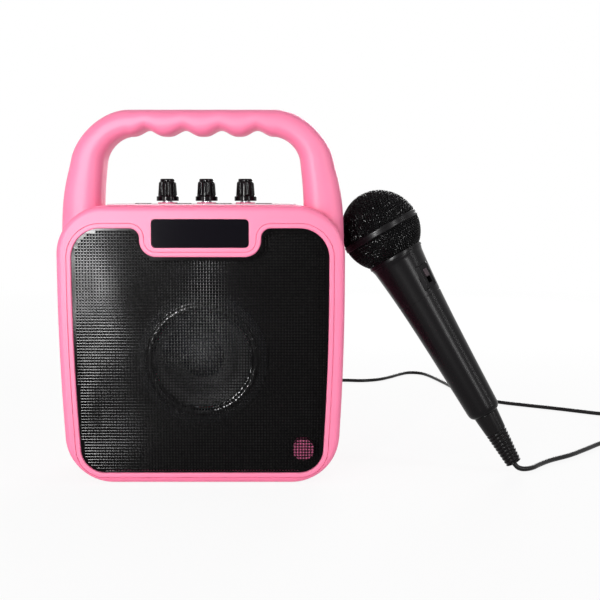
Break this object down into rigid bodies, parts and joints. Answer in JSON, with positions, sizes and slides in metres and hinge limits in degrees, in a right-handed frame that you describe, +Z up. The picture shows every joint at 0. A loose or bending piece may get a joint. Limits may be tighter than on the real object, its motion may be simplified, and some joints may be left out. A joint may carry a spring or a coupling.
{
  "type": "portable karaoke speaker with microphone",
  "caption": "Portable karaoke speaker with a rounded case, carrying handle, perforated front grille, display window, top knobs and a corded hand microphone leaning on its side",
  "frame": {"origin": "on the table, under the middle of the speaker's casing, on the flat underside", "axes": "+Z up; the speaker's front, with its grille, faces -Y; +X to the right seen from the front, where the microphone leans"},
  "size_m": [0.4291, 0.3911, 0.2286],
  "materials": {
    "pink_plastic": "satin",
    "window": "gloss",
    "black_gloss": "gloss",
    "black_satin": "satin",
    "grille_paint": "gloss",
    "pale_plate": "satin",
    "foot_rubber": "matte",
    "lead_jacket": "satin",
    "steel": "satin",
    "socket_steel": "satin",
    "jack_plastic": "satin",
    "circuit_board": "satin",
    "component_plastic": "satin",
    "pot_metal": "satin",
    "fibreboard": "matte",
    "basket_metal": "satin",
    "gasket_foam": "matte",
    "surround_rubber": "satin",
    "cone_material": "satin",
    "copper_coil": "satin",
    "spider_cloth": "matte",
    "ferrite": "satin",
    "cell_sleeve": "satin",
    "wire_jacket": "satin",
    "mic_mesh": "satin",
    "mic_foam": "matte"
  },
  "bodies": {
    "casing": {"front_frame": "pink_plastic", "grille_ring": "pink_plastic", "grille": "grille_paint", "display_window": "window", "display_module": "circuit_board", "baffle_board": "fibreboard", "mesh_support_post": "pink_plastic", "front_shell": "pink_plastic", "rear_shell": "pink_plastic", "case_screws": "steel", "feet": "foot_rubber", "control_deck": "pink_plastic", "deck_overlay": "pale_plate", "potentiometers": "pot_metal", "control_board": "circuit_board", "tact_switches": "component_plastic", "driver_basket": "basket_metal", "driver_gasket": "gasket_foam", "driver_surround": "surround_rubber", "driver_spider": "spider_cloth", "magnet_top_plate": "steel", "driver_magnet": "ferrite", "pole_piece": "steel", "driver_screws": "steel", "back_plate": "black_satin", "mic_jack": "jack_plastic", "aux_jack": "jack_plastic", "usb_socket": "socket_steel", "card_slot": "socket_steel", "charge_socket": "socket_steel", "power_switch_body": "component_plastic", "main_board": "circuit_board", "battery_cell": "cell_sleeve", "battery_cradle": "component_plastic", "inner_wires": "wire_jacket"},
    "mic_volume": {"knob_mic_volume": "black_gloss", "shaft_mic_volume": "steel"},
    "echo": {"knob_echo": "black_gloss", "shaft_echo": "steel"},
    "music_volume": {"knob_music_volume": "black_gloss", "shaft_music_volume": "steel"},
    "mode_key": {"button_mode": "black_satin"},
    "previous_key": {"button_previous": "black_satin"},
    "play_key": {"button_play": "black_satin"},
    "next_key": {"button_next": "black_satin"},
    "power_switch": {"power_slider": "black_satin"},
    "cone_assembly": {"driver_cone": "cone_material", "driver_dust_cap": "cone_material", "voice_coil": "copper_coil"},
    "microphone": {"mic_head_upper": "mic_mesh", "mic_band": "black_gloss", "mic_head_lower": "mic_mesh", "mic_foam": "mic_foam", "mic_capsule": "pot_metal", "mic_barrel": "black_satin", "mic_boot": "lead_jacket", "mic_lead": "lead_jacket", "lead_coil": "lead_jacket", "mic_plug": "jack_plastic"},
    "microphone_switch": {"mic_switch_slider": "black_satin"}
  },
  "joints": [
    {"name": "mic_volume_turn", "type": "hinge", "parent": "casing", "child": "mic_volume", "pos_m": [-0.025, 0.007, 0.173], "axis": [0, 0, 1], "range_deg": [-150, 150]},
    {"name": "echo_turn", "type": "hinge", "parent": "casing", "child": "echo", "pos_m": [0, 0.007, 0.173], "axis": [0, 0, 1], "range_deg": [-150, 150]},
    {"name": "music_volume_turn", "type": "hinge", "parent": "casing", "child": "music_volume", "pos_m": [0.025, 0.007, 0.173], "axis": [0, 0, 1], "range_deg": [-150, 150]},
    {"name": "mode_press", "type": "slide", "parent": "casing", "child": "mode_key", "axis": [0, 0, -1], "range_m": [0, 0.0008], "stiffness_N_per_m": 400, "springref_m": -0.0006},
    {"name": "previous_press", "type": "slide", "parent": "casing", "child": "previous_key", "axis": [0, 0, -1], "range_m": [0, 0.0008], "stiffness_N_per_m": 400, "springref_m": -0.0006},
    {"name": "play_press", "type": "slide", "parent": "casing", "child": "play_key", "axis": [0, 0, -1], "range_m": [0, 0.0008], "stiffness_N_per_m": 400, "springref_m": -0.0006},
    {"name": "next_press", "type": "slide", "parent": "casing", "child": "next_key", "axis": [0, 0, -1], "range_m": [0, 0.0008], "stiffness_N_per_m": 400, "springref_m": -0.0006},
    {"name": "power_slide", "type": "slide", "parent": "casing", "child": "power_switch", "axis": [1, 0, 0], "range_m": [0, 0.0035]},
    {"name": "cone_excursion", "type": "slide", "parent": "casing", "child": "cone_assembly", "axis": [0, 1, 0], "range_m": [-0.0015, 0.0015], "stiffness_N_per_m": 600},
    {"name": "microphone_unplug", "type": "slide", "parent": "casing", "child": "microphone", "axis": [0, 1, 0], "range_m": [0, 0.02]},
    {"name": "microphone_switch_slide", "type": "slide", "parent": "microphone", "child": "microphone_switch", "axis": [0.4979, -0.0815, -0.8634], "range_m": [0, 0.004]}
  ]
}
